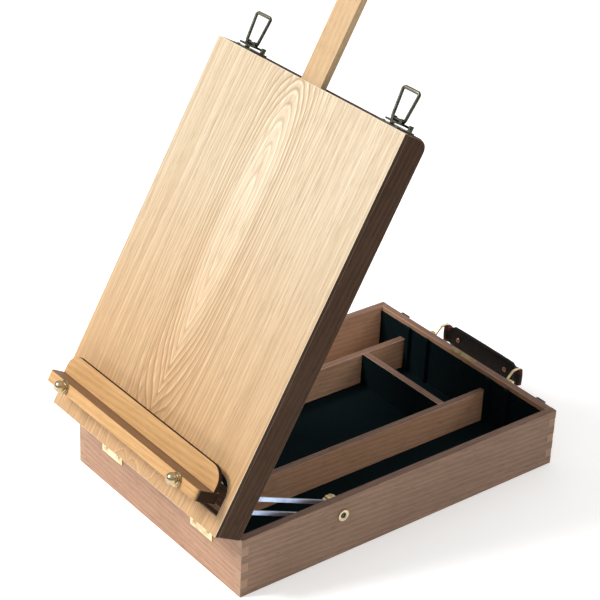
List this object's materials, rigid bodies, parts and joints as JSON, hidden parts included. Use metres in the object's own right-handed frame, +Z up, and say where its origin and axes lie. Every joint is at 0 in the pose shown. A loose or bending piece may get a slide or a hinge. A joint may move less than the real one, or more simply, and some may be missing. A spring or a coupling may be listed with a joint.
{
  "type": "table-top box easel",
  "caption": "Wooden paint box whose hinged lid is a drawing board, with a canvas ledge, sliding mast, slotted stays, draw catches and a carrying handle.",
  "frame": {"origin": "middle of the box's flat underside, on the table", "axes": "+X to the right seen from the hinge side, +Y from the hinge wall to the handle wall, +Z up"},
  "size_m": [0.2796, 0.4832, 0.5885],
  "materials": {
    "walnut": "open-grain, oiled",
    "dark_walnut": "open-grain, stained",
    "ash": "satin lacquer",
    "beech": "satin lacquer",
    "felt": "matt felt",
    "brass": "polished",
    "dark_brass": "antiqued",
    "steel": "brushed",
    "leather": "smooth"
  },
  "bodies": {
    "box": {"box_floor": "walnut", "front_wall": "walnut", "back_wall": "walnut", "left_wall": "walnut", "right_wall": "walnut", "floor_felt": "felt", "front_felt": "felt", "back_felt": "felt", "cross_felt": "felt", "left_divider": "walnut", "right_divider": "walnut", "cross_divider": "walnut", "cleats": "felt", "rim_plate": "brass", "left_box_leaf": "brass", "right_box_leaf": "brass", "left_hinge_pin": "brass", "right_hinge_pin": "brass", "left_keeper": "dark_brass", "right_keeper": "dark_brass", "left_handle_post": "brass", "right_handle_post": "brass", "left_stay_bolt": "brass", "right_stay_bolt": "brass"},
    "lid": {"lid_panel": "ash", "left_rail": "dark_walnut", "right_rail": "dark_walnut", "hinge_end_board": "dark_walnut", "free_end_board": "dark_walnut", "left_lid_leaf": "brass", "right_lid_leaf": "brass", "mast_guides": "beech", "mast_bridge": "beech", "ledge_batten": "dark_walnut", "left_catch_plate": "dark_brass", "right_catch_plate": "dark_brass", "left_stay_pivot": "brass", "right_stay_pivot": "brass"},
    "ledge": {"ledge_base": "beech", "ledge_strip": "beech", "left_ledge_bolt": "brass", "right_ledge_bolt": "brass"},
    "left_ledge_knob_body": {"left_ledge_knob": "brass"},
    "right_ledge_knob_body": {"right_ledge_knob": "brass"},
    "mast_body": {"mast": "beech"},
    "mast_lock_body": {"mast_lock": "brass"},
    "clamp_body": {"canvas_clamp": "beech"},
    "clamp_screw_body": {"clamp_screw": "brass"},
    "left_lever": {"left_catch_lever": "dark_brass"},
    "right_lever": {"right_catch_lever": "dark_brass"},
    "left_loop": {"left_catch_loop": "dark_brass"},
    "right_loop": {"right_catch_loop": "dark_brass"},
    "left_stay_body": {"left_stay": "steel"},
    "right_stay_body": {"right_stay": "steel"},
    "left_nut": {"left_stay_nut": "brass"},
    "right_nut": {"right_stay_nut": "brass"},
    "handle": {"handle_strap": "leather", "left_handle_ring": "brass", "right_handle_ring": "brass"}
  },
  "joints": [
    {"name": "lid_hinge", "type": "hinge", "parent": "box", "child": "lid", "pos_m": [0, -0.2028, 0.0637], "axis": [1, 0, 0], "range_deg": [-61, 4]},
    {"name": "ledge_slide", "type": "slide", "parent": "lid", "child": "ledge", "axis": [0, -0.8746, 0.4848], "range_m": [-0.0076, 0.0055]},
    {"name": "mast_slide", "type": "slide", "parent": "lid", "child": "mast_body", "axis": [0, 0.4848, 0.8746], "range_m": [-0.09, 0.08]},
    {"name": "mast_lock_turn", "type": "hinge", "parent": "lid", "child": "mast_lock_body", "pos_m": [0, -0.03583, 0.38596], "axis": [0, -0.8746, 0.4848], "range_deg": [-180, 180]},
    {"name": "clamp_slide", "type": "slide", "parent": "mast_body", "child": "clamp_body", "axis": [0, 0.4848, 0.8746], "range_m": [-0.045, 0.007]},
    {"name": "clamp_screw_turn", "type": "hinge", "parent": "clamp_body", "child": "clamp_screw_body", "pos_m": [0, 0.059, 0.55291], "axis": [0, -0.8746, 0.4848], "range_deg": [-180, 180]},
    {"name": "left_knob_turn", "type": "hinge", "parent": "ledge", "child": "left_ledge_knob_body", "pos_m": [-0.095, -0.24662, 0.12595], "axis": [0, -0.8746, 0.4848], "range_deg": [-180, 180]},
    {"name": "left_lever_hinge", "type": "hinge", "parent": "lid", "child": "left_lever", "pos_m": [-0.108, -0.01525, 0.42165], "axis": [1, 0, 0], "range_deg": [-100, 0]},
    {"name": "left_loop_hinge", "type": "hinge", "parent": "left_lever", "child": "left_loop", "pos_m": [-0.108, -0.02021, 0.42714], "axis": [-1, 0, 0], "range_deg": [0, 86]},
    {"name": "left_stay_hinge", "type": "hinge", "parent": "lid", "child": "left_stay_body", "pos_m": [-0.124, -0.197, 0.09479], "axis": [1, 0, 0], "range_deg": [-5, 67]},
    {"name": "left_nut_turn", "type": "hinge", "parent": "box", "child": "left_nut", "pos_m": [-0.118, -0.0805, 0.0456], "axis": [1, 0, 0], "range_deg": [-180, 180]},
    {"name": "right_knob_turn", "type": "hinge", "parent": "ledge", "child": "right_ledge_knob_body", "pos_m": [0.095, -0.24662, 0.12595], "axis": [0, -0.8746, 0.4848], "range_deg": [-180, 180]},
    {"name": "right_lever_hinge", "type": "hinge", "parent": "lid", "child": "right_lever", "pos_m": [0.108, -0.01525, 0.42165], "axis": [1, 0, 0], "range_deg": [-100, 0]},
    {"name": "right_loop_hinge", "type": "hinge", "parent": "right_lever", "child": "right_loop", "pos_m": [0.108, -0.02021, 0.42714], "axis": [-1, 0, 0], "range_deg": [0, 86]},
    {"name": "right_stay_hinge", "type": "hinge", "parent": "lid", "child": "right_stay_body", "pos_m": [0.124, -0.197, 0.09479], "axis": [1, 0, 0], "range_deg": [-5, 67]},
    {"name": "right_nut_turn", "type": "hinge", "parent": "box", "child": "right_nut", "pos_m": [0.118, -0.0805, 0.0456], "axis": [1, 0, 0], "range_deg": [-180, 180]},
    {"name": "handle_hinge", "type": "hinge", "parent": "box", "child": "handle", "pos_m": [0, 0.207, 0.055], "axis": [1, 0, 0], "range_deg": [-55, 55]}
  ],
  "couplings": [
    {"joint": "left_stay_hinge", "follows": "lid_hinge", "ratio": -1.0817},
    {"joint": "right_stay_hinge", "follows": "lid_hinge", "ratio": -1.0817}
  ]
}
